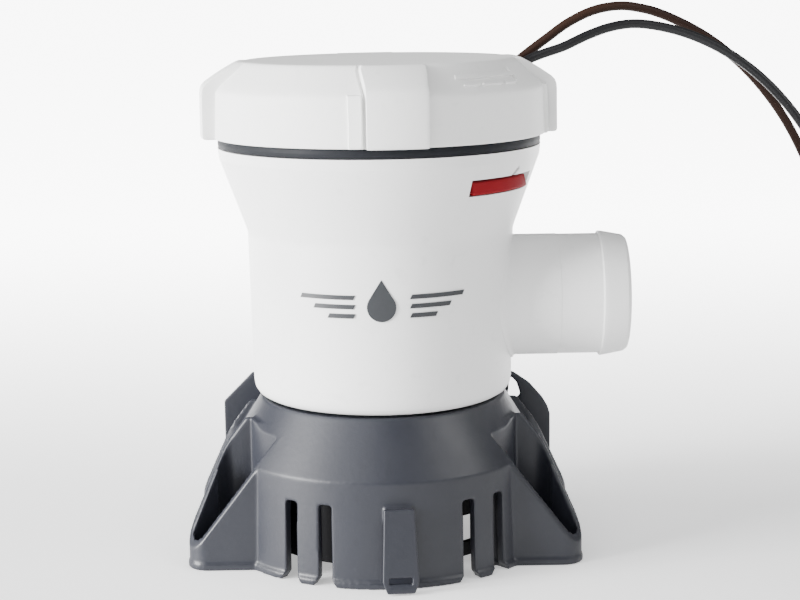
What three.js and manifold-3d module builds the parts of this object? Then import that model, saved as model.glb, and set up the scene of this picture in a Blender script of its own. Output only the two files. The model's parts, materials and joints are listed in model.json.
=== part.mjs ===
// Cartridge bilge pump on its strainer base, as one assembly of separate closed solids.
// Millimetres, +Z up. Every function below builds its sub-part around the pump's own axis, with the
// discharge spigot along +X and the front latch towards -Y. The last lines shift the whole assembly
// so that the origin is under the middle of the pump's own box, without the leads, on the surface it
// stands on.

import * as THREE from 'three';
import { mergeVertices } from 'three/addons/utils/BufferGeometryUtils.js';
import Module from 'manifold-3d';

const wasm = await Module();
wasm.setup();

// ---------------------------------------------------------------- driving dimensions
const PUMP_HEIGHT = 117;
const GAP = 0.3; // between pieces that touch in the real pump
const ROUND = 44; // segments in a large turned shape
const SMALL_ROUND = 18; // segments in a small turned shape

const SPIGOT_DIAMETER = 28.8; // takes a 28.6 mm (1-1/8 in) hose
const SPIGOT_BORE = 24;
const SPIGOT_REACH = 58.3;
const SPIGOT_HEIGHT = 60.3;

const BASE_TOP = 37.5;
const STEP_HEIGHT = 24.4;
const STEP_RADIUS = 37.2;
const SKIRT_RADIUS = 37.8;
const SKIRT_WALL = 2.2;
const LIP_HEIGHT = 1.5;
const LIP_PROUD = 0.4;
const STRAINER_TURN = 4.6; // degrees that the slots and latches sit round from the ears' mid-line

const BODY_RADIUS_LOW = 30.9;
const BODY_RADIUS_HIGH = 31.5;
const BODY_FLOOR = 37.9;
const BODY_FLOOR_TOP = 40.3;
const BODY_RIM = 97;
const BODY_RIM_RADIUS = 38;
const BORE_RADIUS = 28.9;
const THROAT_RADIUS = 32.6;

const EAR_INSIDE = 8.3; // distances of an ear's two straight sides from the pump's mid-line
const EAR_OUTSIDE = 22.9;
const EAR_END = { centre: [41.7, 18.4], radius: 4.5 }; // the ear's round end
const EAR_BEND = { centre: [35.9, 13.3], radius: 5 }; // where its inner side bends towards that end
const EAR_WALL = 1.2;
const EAR_CORE = 31.6; // the ear's inner wall starts at this radius
const EAR_FLOOR = 3.2;
const EAR_TOP = 33.2;
const SCREW_HOLE = 4.6;
const SCREW_PLACE = [38.6, 17];
const RIM_PLACE = { x: 41, y: 9.5, z: 21.9 }; // a point of the ear's sloping rim
const RIM_SLOPE_OUT = 1.3; // how steeply the rim falls away from the pump
const RIM_SLOPE_ASIDE = 0.96; // and towards the ear's free side
const FIN_START = [39.6, 12.9]; // the upright inner wall in an ear's pocket
const FIN_DIRECTION = [4.8, 4];
const FIN_LENGTH = 7.2;
const FIN_THICKNESS = 1;
const FIN_HEIGHTS = [22, 9]; // at its start and at its end

const SLOT_SIZE = [7.4, 3.1, 19.9]; // through the skirt; its upper end stays below the step
const SLOT_MIDDLE = 8.95;
const FRONT_SLOTS = [-39.6, -26, 26, 39.6]; // degrees to either side of a latch
const SIDE_SLOTS = [-6, 6, 174, 186]; // degrees from the spigot

const LATCH_HEIGHT = 18.9;
const LATCH_THICKNESS = 1.5;
const LATCH_LEAN = 8.5; // degrees

const CAGE_WALL = [28.3, 29.9];
const CAGE_FOOT = 2.7;
const CAGE_WINDOWS = { first: -51, number: 3, halfAngle: 6, low: 6, high: 12.6 };

const CAP_BOTTOM = 99.4;
const CAP_RADIUS_LOW = 39.1;
const CAP_RADIUS_HIGH = 38.7;
const CAP_SHOULDER = 110.4;
const CAP_PLATE_RADIUS = 32.2;
const CAP_WALL = 2.3;
const CAP_TURN = 5.8; // degrees that the grip ribs sit round from the spigot
const RIB_HALF_ANGLE = 9.5;
const RIB_RADIUS = 42;
const RIB_BOTTOM = CAP_BOTTOM;

const SLOT_LOW = 87.5;
const SLOT_HIGH = 91.3;
const TAB_MIDDLE = -37; // degrees round from the spigot
const TAB_HALF_ANGLE = 19;
const RELIEF_MIDDLE = -33.5; // a narrow slanting slit that runs up from the slot's upper edge
const RELIEF_SIZE = [20, 0.7, 3.4];
const RELIEF_SLANT = 48; // degrees from vertical

const GROMMET_TURN = 27; // degrees round from the spigot, just behind the rib above it
const GROMMET_TILT = 55; // degrees from vertical
const GROMMET_SEAT = [36.2, 112.6]; // radius and height of its middle, on the cap's chamfer
const LEAD_SPACING = 3.4; // between the two leads in the grommet

const CAPSULE_RADIUS = 23.5;
const CAPSULE_BORE = 21.3;
const CAPSULE_BOTTOM = 53.5;
const CAN_RADIUS = 20.8;
const SHAFT_RADIUS = 1.6;
const TERMINAL_OFFSET = 14;
const IMPELLER_RADIUS = 19;
const IMPELLER_BLADES = 6;
const POLES = 3;
const CORE_RADIUS = 15.4;
const CAN_BOTTOM = CAPSULE_BOTTOM + 3;

const LEAD_DIAMETER = 2.3;
const COIL_RADIUS = 13; // middle of the turns
const COIL_BUNDLE = 7.2; // width and height of the bundle of turns
const COIL_LIFT = 0.7; // the tie runs underneath
const COIL_CENTRE_X = 155;
const TOP_TURN = COIL_LIFT + 2.5 * LEAD_DIAMETER; // height of the coil's top layer

// ---------------------------------------------------------------- materials
function paint(color, roughness, metalness) {
  return new THREE.MeshStandardMaterial({ color, roughness, metalness });
}

const MATERIALS = {
  white: paint(0xe9e8e4, 0.42, 0),
  grey: paint(0x6f7480, 0.5, 0),
  charcoal: paint(0x3c3e41, 0.55, 0),
  black: paint(0x17181a, 0.5, 0),
  rubber: paint(0x1c1c1e, 0.75, 0),
  red: paint(0xb9262f, 0.4, 0),
  brown: paint(0x5b3d31, 0.5, 0),
  leadBlack: paint(0x232326, 0.5, 0),
  steel: paint(0xb4b6ba, 0.35, 1),
  lamination: paint(0x77797d, 0.5, 1),
  copper: paint(0xb4683a, 0.35, 1),
  brass: paint(0xc2a35a, 0.35, 1),
  carbon: paint(0x2a2a2c, 0.6, 0),
  ferrite: paint(0x34353a, 0.65, 0),
  nylon: paint(0xd9d6cc, 0.5, 0),
};

// ---------------------------------------------------------------- geometry helpers
const radians = THREE.MathUtils.degToRad;

/** A closed geometry as a manifold solid, its faces turned outwards. */
function solid(geometry) {
  const bare = geometry.clone();
  bare.deleteAttribute('normal');
  bare.deleteAttribute('uv');
  const welded = mergeVertices(bare, 1e-4);
  const points = welded.attributes.position.array;
  const corners = Array.from(welded.index.array);
  const triangles = [];
  let volume = 0;
  const [a, b, c] = [new THREE.Vector3(), new THREE.Vector3(), new THREE.Vector3()];
  for (let i = 0; i < corners.length; i += 3) {
    const [p, q, r] = corners.slice(i, i + 3);
    if (p === q || q === r || r === p) continue;
    triangles.push(p, q, r);
    a.fromArray(points, 3 * p);
    b.fromArray(points, 3 * q);
    c.fromArray(points, 3 * r);
    volume += a.dot(b.cross(c));
  }
  if (volume < 0) triangles.reverse();
  const mesh = new wasm.Mesh({
    numProp: 3,
    vertProperties: new Float32Array(points),
    triVerts: new Uint32Array(triangles),
  });
  return new wasm.Manifold(mesh);
}

/** A manifold solid as a named mesh. */
function piece(name, manifold, material) {
  const mesh = manifold.getMesh();
  const geometry = new THREE.BufferGeometry();
  const vertices = new Float32Array(mesh.vertProperties);
  geometry.setAttribute('position', new THREE.BufferAttribute(vertices, 3));
  geometry.setIndex(new THREE.BufferAttribute(new Uint32Array(mesh.triVerts), 1));
  geometry.computeVertexNormals();
  const result = new THREE.Mesh(geometry, MATERIALS[material]);
  result.name = name;
  return result;
}

/** A closed [radius, height] outline turned about the Z axis. */
function turned(outline, segments = ROUND) {
  const points = [...outline, outline[0]].map(([r, z]) => new THREE.Vector2(r, z));
  return solid(new THREE.LatheGeometry(points, segments).rotateX(Math.PI / 2));
}

/** A turned solid that reaches the axis: the outline runs from its lowest point to its highest. */
function turnedFull(outline, segments = ROUND) {
  const first = outline[0][1];
  const last = outline[outline.length - 1][1];
  return turned([[0, first], ...outline, [0, last]], segments);
}

/** A tube-like ring between two radii and two heights. */
function ring(inner, outer, low, high, segments = ROUND) {
  return turned([[inner, low], [outer, low], [outer, high], [inner, high]], segments);
}

/** A plain round bar along Z. */
function disc(radius, low, high, segments = SMALL_ROUND) {
  return turnedFull([[radius, low], [radius, high]], segments);
}

/** A flat outline, drawn in X and Y, raised from one height to another. */
function raised(shape, low, high, curveSegments = 8) {
  const settings = { depth: high - low, bevelEnabled: false, curveSegments };
  return solid(new THREE.ExtrudeGeometry(shape, settings).translate(0, 0, low));
}

/** A rectangular block from its middle and its size. */
function block(middle, size) {
  return solid(new THREE.BoxGeometry(...size).translate(...middle));
}

/** A polygon through the given points. */
const polygon = (points) => new THREE.Shape(points.map(([x, y]) => new THREE.Vector2(x, y)));

/** A wedge about the Z axis between two directions, for cutting a turned shape. */
function wedge(fromDegrees, toDegrees, low, high, reach = 80) {
  const steps = Math.max(2, Math.ceil((toDegrees - fromDegrees) / 20));
  const points = [[0, 0]];
  for (let i = 0; i <= steps; i += 1) {
    const angle = radians(fromDegrees + ((toDegrees - fromDegrees) * i) / steps);
    points.push([reach * Math.cos(angle), reach * Math.sin(angle)]);
  }
  return raised(polygon(points), low, high);
}

/** A solid turned about the vertical axis. */
const spun = (manifold, degrees) => manifold.rotate([0, 0, degrees]);

/** The union of several solids. */
const joined = (...solids) => solids.reduce((sum, next) => sum.add(next));

/** Points along a round corner, from one angle to another, in degrees. */
function arc(centre, radius, from, to, steps) {
  return Array.from({ length: steps + 1 }, (_, i) => {
    const angle = radians(from + ((to - from) * i) / steps);
    return [centre[0] + radius * Math.cos(angle), centre[1] + radius * Math.sin(angle)];
  });
}

/** A torus-shaped seal about the Z axis. */
function seal(radius, thickness, height, segments = 36) {
  return turned(arc([radius, height], thickness / 2, 0, 300, 5), segments);
}

// ---------------------------------------------------------------- strainer base
const FRONT = -90 + STRAINER_TURN; // direction of the front latch, in degrees from the spigot

/** The footprint of one ear, shrunk by inset on every free side. */
function earOutline(sideX, sideY, inset) {
  const bend = arc(EAR_BEND.centre, EAR_BEND.radius - inset, -90, -45, 3);
  const end = arc(EAR_END.centre, EAR_END.radius - inset, -45, 90, 8);
  const root = EAR_CORE - 10;
  const points = [[root, EAR_INSIDE + inset], ...bend, ...end, [root, EAR_OUTSIDE - inset]];
  return polygon(points.map(([x, y]) => [sideX * x, sideY * y]));
}

/** Everything above the ear's sloping rim, which falls outwards and towards the ear's free side. */
function aboveEarRim(sideX, sideY) {
  const rimAt = (x, y) =>
    RIM_PLACE.z - RIM_SLOPE_OUT * (x - RIM_PLACE.x) - RIM_SLOPE_ASIDE * (y - RIM_PLACE.y);
  const [near, far] = [10, 60];
  const top = 140;
  const corners = [
    [near, -5, rimAt(near, -5)],
    [far, -5, rimAt(far, -5)],
    [far, 40, rimAt(far, 40)],
    [near, 40, rimAt(near, 40)],
  ];
  const points = [...corners, ...corners.map(([x, y]) => [x, y, top])];
  const flat = points.flatMap(([x, y, z]) => [sideX * x, sideY * y, z]);
  const sides = [0, 1, 2, 3].flatMap((i) => {
    const next = (i + 1) % 4;
    return [i, next, next + 4, i, next + 4, i + 4];
  });
  const geometry = new THREE.BufferGeometry();
  geometry.setAttribute('position', new THREE.Float32BufferAttribute(flat, 3));
  geometry.setIndex([0, 2, 1, 0, 3, 2, 4, 5, 6, 4, 6, 7, ...sides]);
  return solid(geometry);
}

function baseShell() {
  return turned([
    [20, 35],
    [20, BASE_TOP - 0.2],
    [28.4, BASE_TOP - 0.2],
    [28.8, BASE_TOP],
    [29.3, BASE_TOP - 0.3],
    [STEP_RADIUS, STEP_HEIGHT],
    [SKIRT_RADIUS, LIP_HEIGHT],
    [SKIRT_RADIUS + LIP_PROUD, LIP_HEIGHT],
    [SKIRT_RADIUS + LIP_PROUD, 0],
    [SKIRT_RADIUS - SKIRT_WALL, 0],
    [STEP_RADIUS - SKIRT_WALL, STEP_HEIGHT - 0.8],
    [27, 35],
  ]);
}

/** The thin inner wall that stands in an ear's pocket, close along the pocket's slanting side. */
function earFin(sideX, sideY) {
  const direction = THREE.MathUtils.radToDeg(
    Math.atan2(sideY * FIN_DIRECTION[1], sideX * FIN_DIRECTION[0]),
  );
  const foot = EAR_FLOOR - 0.5;
  const outline = [[0, foot], [FIN_LENGTH, foot], [FIN_LENGTH, FIN_HEIGHTS[1]], [0, FIN_HEIGHTS[0]]];
  const plate = raised(polygon(outline), -FIN_THICKNESS / 2, FIN_THICKNESS / 2).rotate([90, 0, 0]);
  return spun(plate, direction).translate([sideX * FIN_START[0], sideY * FIN_START[1], 0]);
}

/** A plate in the plane of the ears' rear sides, from an outline of [distance aside, height]. */
function rearPlate(outline) {
  return raised(polygon(outline), -EAR_OUTSIDE, EAR_WALL - EAR_OUTSIDE).rotate([90, 0, 0]);
}

/** The tall rear walls: one with a cut corner, and one rounded off, with a gap against the cone. */
function addRearWalls(base) {
  const top = 37.2;
  const foot = 12;
  const reach = 40.6;
  const cornered = rearPlate([
    [-23, 30],
    [-29, 20],
    [-reach, foot],
    [-reach, 29.8],
    [-33.2, top],
    [-23, top],
  ]);
  const roundedOff = rearPlate([
    [23, 30],
    [29, 20],
    [reach, foot],
    [42.6, foot],
    [42.6, 25.2],
    [42, 27.2],
    [reach, 29.6],
    [37.3, 33.4],
    [33.6, 36],
    [31, top],
    [23, top],
  ]);
  const gap = rearPlate([[31.8, 30], [34, 29.4], [35, 30.4], [34, 33.6], [32.4, 35.2]]);
  return joined(base, cornered, roundedOff).subtract(gap);
}

function strainerBase() {
  let base = baseShell();
  const pockets = [];
  for (const sideX of [1, -1]) {
    for (const sideY of [1, -1]) {
      const core = disc(EAR_CORE, -5, 60, ROUND);
      const pocketCore = disc(EAR_CORE + EAR_WALL, -5, 60, ROUND);
      const above = aboveEarRim(sideX, sideY);
      const foot = raised(earOutline(sideX, sideY, -LIP_PROUD), 0, LIP_HEIGHT).subtract(core);
      const walls = raised(earOutline(sideX, sideY, 0), 0, EAR_TOP).subtract(above).subtract(core);
      const pocket = raised(earOutline(sideX, sideY, EAR_WALL), EAR_FLOOR, 60).subtract(pocketCore);
      const place = [sideX * SCREW_PLACE[0], sideY * SCREW_PLACE[1], 0];
      const screw = disc(SCREW_HOLE / 2, -1, EAR_FLOOR + 1).translate(place);
      base = joined(base, foot, walls);
      pockets.push(pocket, screw);
    }
  }
  for (const pocket of pockets) base = base.subtract(pocket);
  for (const sideX of [1, -1]) base = joined(base, earFin(sideX, 1), earFin(sideX, -1));
  base = addRearWalls(base);
  const slot = block([SKIRT_RADIUS, 0, SLOT_MIDDLE], SLOT_SIZE);
  const latchSlots = FRONT_SLOTS.flatMap((angle) => [FRONT + angle, FRONT + 180 + angle]);
  for (const angle of [...latchSlots, ...SIDE_SLOTS]) base = base.subtract(spun(slot, angle));
  return piece('strainer_base', base, 'grey');
}

/** A latch lever: a tapered tongue that leans out from the skirt, with a small window. */
function latch(name, direction) {
  const tongue = polygon([
    [-3.1, 0], [3.1, 0], [4.1, 2.6], [3.4, LATCH_HEIGHT], [-3.4, LATCH_HEIGHT], [-4.1, 2.6],
  ]);
  const window = [[-2.6, 2.2], [2.6, 2.2], [2.6, 3.6], [-2.6, 3.6]];
  tongue.holes.push(new THREE.Path(window.map(([x, y]) => new THREE.Vector2(x, y))));
  const standOff = SKIRT_RADIUS + 0.5;
  const lever = raised(tongue, 0, LATCH_THICKNESS)
    .rotate([90, 0, 90])
    .translate([0, 0, -LATCH_HEIGHT])
    .rotate([0, -LATCH_LEAN, 0])
    .translate([standOff, 0, LATCH_HEIGHT]);
  const floor = block([0, 0, -20], [200, 200, 40]);
  return piece(name, spun(lever.subtract(floor), direction), 'grey');
}

/** The inner wall behind the slots, with the windows that the water comes in through. */
function intakeCage() {
  const [inner, outer] = CAGE_WALL;
  let cage = turned([
    [22, 32.8],
    [24.8, 32.8],
    [inner, 28.8],
    [inner, CAGE_FOOT],
    [outer, CAGE_FOOT],
    [outer, 29.2],
    [26.6, 34.2],
    [22, 34.2],
  ]);
  const { first, number, halfAngle, low, high } = CAGE_WINDOWS;
  const window = wedge(-halfAngle, halfAngle, low, high);
  for (let i = 0; i < number; i += 1) cage = cage.subtract(spun(window, first + (360 / number) * i));
  return piece('intake_cage', cage, 'black');
}

// ---------------------------------------------------------------- pump body
function bodyOutside() {
  const corner = arc([27.1, BODY_FLOOR + 3.8], 3.8, -90, 0, 5);
  return turnedFull([
    ...corner,
    [BODY_RADIUS_HIGH, 76],
    [31.75, 78],
    [32.6, 81],
    [BODY_RIM_RADIUS, 95.9],
    [BODY_RIM_RADIUS, BODY_RIM],
  ]);
}

/** The spigot's outside: a plain tube, a sharp hose ridge, and a tapered nose. */
function spigotOutside() {
  const radius = SPIGOT_DIAMETER / 2;
  return turnedFull([
    [radius, 20],
    [radius, 51.3],
    [radius + 0.65, 51.9],
    [radius + 0.5, 52.6],
    [radius - 0.3, 56.8],
    [radius - 0.8, 57.8],
    [radius - 1.5, SPIGOT_REACH],
  ], 40).rotate([0, 90, 0]).translate([0, 0, SPIGOT_HEIGHT]);
}

function pumpBody() {
  const cavity = turnedFull([
    [BORE_RADIUS - 0.6, BODY_FLOOR_TOP],
    [BORE_RADIUS, 76],
    [BORE_RADIUS, 80],
    [THROAT_RADIUS, 86.4],
    [THROAT_RADIUS, BODY_RIM + 1],
  ]);
  const bore = disc(SPIGOT_BORE / 2, 15, SPIGOT_REACH + 1, 40)
    .rotate([0, 90, 0])
    .translate([0, 0, SPIGOT_HEIGHT]);
  const eye = disc(9, BODY_FLOOR - 1, BODY_FLOOR_TOP + 1);
  const slot = wedge(TAB_MIDDLE - TAB_HALF_ANGLE, TAB_MIDDLE + TAB_HALF_ANGLE, SLOT_LOW, SLOT_HIGH);
  const relief = block([0, 0, 0], RELIEF_SIZE)
    .rotate([-RELIEF_SLANT, 0, 0])
    .translate([BODY_RIM_RADIUS, 0, SLOT_HIGH + 0.6]);
  const body = joined(bodyOutside(), spigotOutside())
    .subtract(cavity)
    .subtract(bore)
    .subtract(eye)
    .subtract(slot)
    .subtract(spun(relief, RELIEF_MIDDLE));
  return piece('pump_body', body, 'white');
}

/** The thumb tab in the flare: a curved bar through the slot, with a wider lip behind the wall. */
function releaseTab() {
  const low = SLOT_LOW + GAP;
  const high = SLOT_HIGH - GAP;
  const [flareFoot, flareTop] = [81, 95.9];
  const flareSlope = (BODY_RIM_RADIUS - THROAT_RADIUS) / (flareTop - flareFoot);
  const faceAt = (z) => BODY_RIM_RADIUS - (flareTop - z) * flareSlope + 0.35;
  const bar = turned([[31.6, low], [faceAt(low), low], [faceAt(high), high], [31.6, high]]);
  const lip = ring(31, THROAT_RADIUS - GAP, low - 0.5, high + 0.8);
  const barHalf = TAB_HALF_ANGLE - 1.2;
  const lipHalf = TAB_HALF_ANGLE + 3;
  const tab = joined(
    bar.intersect(wedge(TAB_MIDDLE - barHalf, TAB_MIDDLE + barHalf, 80, 99)),
    lip.intersect(wedge(TAB_MIDDLE - lipHalf, TAB_MIDDLE + lipHalf, 80, 99)),
  );
  return piece('release_tab', tab, 'red');
}

/** A curved spring strip behind the tab's lip. */
function tabSpring() {
  const half = TAB_HALF_ANGLE + 5;
  const cut = wedge(TAB_MIDDLE - half, TAB_MIDDLE + half, 80, 99);
  return piece('release_spring', ring(30.2, 30.6, 88.2, 91.2).intersect(cut), 'steel');
}

/** The dark band between the housing's rim and the cap. */
function sealBand() {
  const band = ring(THROAT_RADIUS + 0.2, 37.9, BODY_RIM + GAP, CAP_BOTTOM - GAP);
  return piece('seal_band', band, 'charcoal');
}

// ---------------------------------------------------------------- cap and motor capsule
/** One grip rib, running from the top plate down over the chamfer and the wall, centred on +X. */
function gripRib() {
  const profile = turned([
    [30, RIB_BOTTOM],
    [RIB_RADIUS, RIB_BOTTOM],
    [RIB_RADIUS, 110.2],
    [40.9, 112.2],
    [38, 114.2],
    [33.4, PUMP_HEIGHT],
    [30, PUMP_HEIGHT],
  ], 80);
  const sideStrip = turned([
    [30, RIB_BOTTOM],
    [39.9, RIB_BOTTOM],
    [39.7, CAP_SHOULDER],
    [30, CAP_SHOULDER + 0.6],
  ]);
  const broad = profile.intersect(wedge(-RIB_HALF_ANGLE, RIB_HALF_ANGLE, 90, 120));
  const narrow = sideStrip.intersect(wedge(-15.5, -11, 90, 120));
  return joined(broad, narrow);
}

function motorCap() {
  const outside = turnedFull([
    [CAP_RADIUS_LOW, CAP_BOTTOM],
    [CAP_RADIUS_HIGH, CAP_SHOULDER],
    [CAP_PLATE_RADIUS, PUMP_HEIGHT],
  ]);
  const hollow = turnedFull([
    [CAP_RADIUS_LOW - CAP_WALL, CAP_BOTTOM - 1],
    [CAP_RADIUS_HIGH - CAP_WALL, CAP_SHOULDER - 1],
    [CAP_PLATE_RADIUS - 1, PUMP_HEIGHT - CAP_WALL],
  ]);
  const plug = ring(26.5, 32.2, 94.4, PUMP_HEIGHT - 1);
  let cap = outside;
  for (let i = 0; i < 4; i += 1) cap = cap.add(spun(gripRib(), CAP_TURN + 90 * i));
  cap = cap.subtract(hollow).add(plug).subtract(grommetHole());
  return piece('motor_cap', cap, 'white');
}

/** A solid built along +Z, moved to the grommet's seat with +Z pointing out of the chamfer. */
function atGrommet(manifold) {
  const seated = manifold.rotate([0, GROMMET_TILT, 0]).translate([GROMMET_SEAT[0], 0, GROMMET_SEAT[1]]);
  return spun(seated, GROMMET_TURN);
}

const grommetHole = () => atGrommet(disc(3.9, -8, 6));

/** The rubber sleeve that both leads come out through. */
function leadGrommet() {
  let sleeve = turnedFull([[3.6, -4], [3.6, 1.2], [3.9, 1.4], [3.9, 1.8], [3.4, 2.1]], SMALL_ROUND);
  const leadHole = disc(LEAD_DIAMETER / 2 + GAP, -5, 3, 12);
  const aside = LEAD_SPACING / 2;
  for (const y of [aside, -aside]) sleeve = sleeve.subtract(leadHole.translate([0, y, 0]));
  return piece('lead_grommet', atGrommet(sleeve), 'rubber');
}

function motorCapsule() {
  const [low, high] = [CAPSULE_BOTTOM, 99.2];
  const capsule = turned([
    [4.1, low],
    [CAPSULE_RADIUS - 1.5, low],
    [CAPSULE_RADIUS, low + 1.5],
    [CAPSULE_RADIUS, 77.5],
    [28.4, 79.2],
    [28.4, 80.9],
    [26.9, 80.9],
    [26.9, 83.1],
    [28.4, 83.1],
    [28.4, 85],
    [26.2, 86.5],
    [26.2, high],
    [CAPSULE_BORE, high],
    [CAPSULE_BORE, low + 2.6],
    [4.1, low + 2.6],
  ]);
  return piece('motor_capsule', capsule, 'black');
}

const capsuleSeal = () => piece('capsule_seal', seal(27.85, 1.3, 82), 'rubber');

/** Resin that closes the top of the capsule around the leads. */
function capsuleLid() {
  let lid = turnedFull([[21, 97.2], [21, 98.8], [19, 99.4]], 40);
  const slit = block([0, 0, 98], [5.4, 1.6, 6]);
  for (const side of [1, -1]) lid = lid.subtract(slit.translate([0, side * TERMINAL_OFFSET, 0]));
  return piece('capsule_lid', lid, 'black');
}

function shaftSeal() {
  const outline = [[2, 53.7], [3.8, 53.7], [3.8, 55.9], [3, 55.9], [2.6, 54.6], [2, 54.3]];
  return piece('shaft_seal', turned(outline, SMALL_ROUND), 'rubber');
}

// ---------------------------------------------------------------- motor
function motorCan() {
  const [wall, hole, top] = [1.1, 4.3, 91];
  const outline = [
    [hole, CAN_BOTTOM],
    [CAN_RADIUS, CAN_BOTTOM],
    [CAN_RADIUS, top],
    [CAN_RADIUS - wall, top],
    [CAN_RADIUS - wall, CAN_BOTTOM + wall],
    [hole, CAN_BOTTOM + wall],
  ];
  return piece('motor_can', turned(outline, 48), 'steel');
}

function magnet(name, direction) {
  const arcMagnet = ring(16.2, 19.4, 61, 85, 48).intersect(wedge(-62, 62, 50, 95));
  return piece(name, spun(arcMagnet, direction), 'ferrite');
}

/** A bush with a flange, around the shaft. */
function bush(name, low, flangeLow) {
  const hole = SHAFT_RADIUS + GAP;
  const sleeve = ring(hole, 4, low, low + 4, SMALL_ROUND);
  const flange = ring(hole, 5.6, flangeLow, flangeLow + 1, SMALL_ROUND);
  return piece(name, sleeve.add(flange), 'brass');
}

/** The three-pole laminated core. */
function armatureCore() {
  const [low, high] = [63, 83];
  const crown = ring(12.2, CORE_RADIUS, low, high, 48).intersect(wedge(-48, 48, low - 1, high + 1));
  const stem = block([8, 0, (low + high) / 2], [11, 4, high - low]);
  const pole = crown.add(stem);
  let core = disc(5, low, high);
  for (let i = 0; i < POLES; i += 1) core = core.add(spun(pole, (360 / POLES) * i));
  return piece('armature_core', core.subtract(disc(SHAFT_RADIUS + GAP, low - 1, high + 1)), 'lamination');
}

/** A copper coil around one pole's stem. */
function winding(name, index) {
  const outline = polygon([[-4.9, -13.6], [4.9, -13.6], [4.9, 13.6], [-4.9, 13.6]]);
  const hole = [[-2.3, -10.4], [2.3, -10.4], [2.3, 10.4], [-2.3, 10.4]];
  outline.holes.push(new THREE.Path(hole.map(([x, y]) => new THREE.Vector2(x, y))));
  const coil = raised(outline, 6.4, 10.8).rotate([90, 0, 90]).translate([0, 0, 73]);
  return piece(name, spun(coil, (360 / POLES) * index), 'copper');
}

function commutator() {
  return piece('commutator', ring(SHAFT_RADIUS + GAP, 4.4, 88.2, 91.4, SMALL_ROUND), 'copper');
}

const rotorShaft = () => piece('rotor_shaft', disc(SHAFT_RADIUS, 43.6, 96), 'steel');

/** The insulated plate that closes the can, holds the upper bush and carries the brush gear. */
function endBell() {
  let bell = ring(4.3, CAN_RADIUS, 92.6, 95.4, 48);
  for (const x of [10.5, -10.5]) {
    for (const y of [3.1, -3.1]) bell = bell.add(block([x, y, 91.4], [9, 1, 3.4]));
  }
  return piece('end_bell', bell, 'nylon');
}

const brush = (name, side) => piece(name, block([side * 7, 0, 89.8], [4.6, 3.8, 2.6]), 'carbon');

function brushSpring(name, side) {
  return piece(name, block([side * 11.7, 0, 89.8], [4, 2.4, 1.6]), 'brass');
}

/** A blade that stands on the end bell and passes up through the lid, where a lead joins it. */
function terminal(name, side) {
  const [low, high] = [95.4 + GAP, 103.6];
  const blade = block([0, side * TERMINAL_OFFSET, (low + high) / 2], [4.6, 0.8, high - low]);
  const eyelet = disc(1, -2, 2, 12).rotate([90, 0, 0]).translate([0, side * TERMINAL_OFFSET, high - 2]);
  return piece(name, blade.subtract(eyelet), 'brass');
}

/** The radial-vane wheel on the lower end of the shaft. */
function impeller() {
  const [low, high] = [41.6, 48.6];
  const hub = ring(SHAFT_RADIUS + GAP, 4.2, low, high, SMALL_ROUND);
  const shroud = ring(3.5, IMPELLER_RADIUS, 47.2, high, 48);
  let wheel = hub.add(shroud);
  const vane = polygon([...arc([4, 14], 14, -90, -38, 6), ...arc([4, 14], 12.6, -38, -90, 6)]);
  const blade = raised(vane, low + 0.4, 47.6);
  const step = 360 / IMPELLER_BLADES;
  for (let i = 0; i < IMPELLER_BLADES; i += 1) wheel = wheel.add(spun(blade, step * i));
  return piece('impeller', wheel, 'nylon');
}

// ---------------------------------------------------------------- leads
// Each lead leaves the grommet, arches over and drops to the middle turn in its coil's top layer.
const BROWN_ROUTE = [
  [30.8, 17.6, 112], [33, 18.7, 113.8], [34.8, 19.5, 115.3], [41.6, 21, 120.2], [47.2, 22, 124],
  [53.6, 23, 126.8], [60.1, 24.5, 127.7], [65, 26, 127.1], [69.6, 27.4, 125.9], [76, 28.8, 123.2],
  [83.5, 30.4, 119], [91, 32, 113.2], [98, 33.6, 106], [104.4, 35.2, 97.4], [110, 36.8, 87.2],
  [115, 38.4, 75.4], [119.4, 40, 62.6], [123.4, 41.6, 49.4], [127.2, 43.2, 36.4], [131.4, 44.6, 25.2],
  [136.6, 45.7, 16.6], [142.4, 46.1, 11.2], [148, 46, 8.9], [COIL_CENTRE_X, 46, TOP_TURN],
];
const BLACK_ROUTE = [
  [32.3, 14.5, 112], [34.6, 15.7, 113.8], [36.6, 16.5, 115.2], [40.2, 16.8, 116.6], [45.2, 17, 118.2],
  [51.4, 18, 120.9], [57, 19, 122.7], [62.6, 20, 123.4], [68.4, 20.8, 122.8], [76, 21, 120.8],
  [84, 20.6, 117.2], [92, 19.8, 111.8], [99.4, 18.8, 104.6], [106, 17.6, 95.6], [111.6, 16.4, 85.2],
  [116.4, 15, 73.4], [120.4, 13.8, 60.6], [124, 12.6, 47.6], [127.6, 11.4, 34.8], [131.8, 10.2, 23.9],
  [136.8, 9, 15.8], [142.4, 8.2, 11], [148, 8, 8.9], [COIL_CENTRE_X, 8, TOP_TURN],
];
const coilCentreY = (route) => route[route.length - 1][1] - COIL_RADIUS;

/** A lead's loose stretch, from the grommet to its coil. */
function lead(name, route, material) {
  const points = route.map((place) => new THREE.Vector3(...place));
  const path = new THREE.CatmullRomCurve3(points, false, 'centripetal');
  const section = new THREE.Shape();
  section.absarc(0, 0, LEAD_DIAMETER / 2, 0, 2 * Math.PI);
  const settings = { steps: 38, extrudePath: path, curveSegments: 4 };
  const tube = solid(new THREE.ExtrudeGeometry(section, settings));
  const outer = COIL_RADIUS + COIL_BUNDLE / 2 + GAP;
  const coilRoom = ring(4, outer, -1, 12, 36).translate([COIL_CENTRE_X, coilCentreY(route), 0]);
  return piece(name, tube.subtract(coilRoom), material);
}

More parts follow.
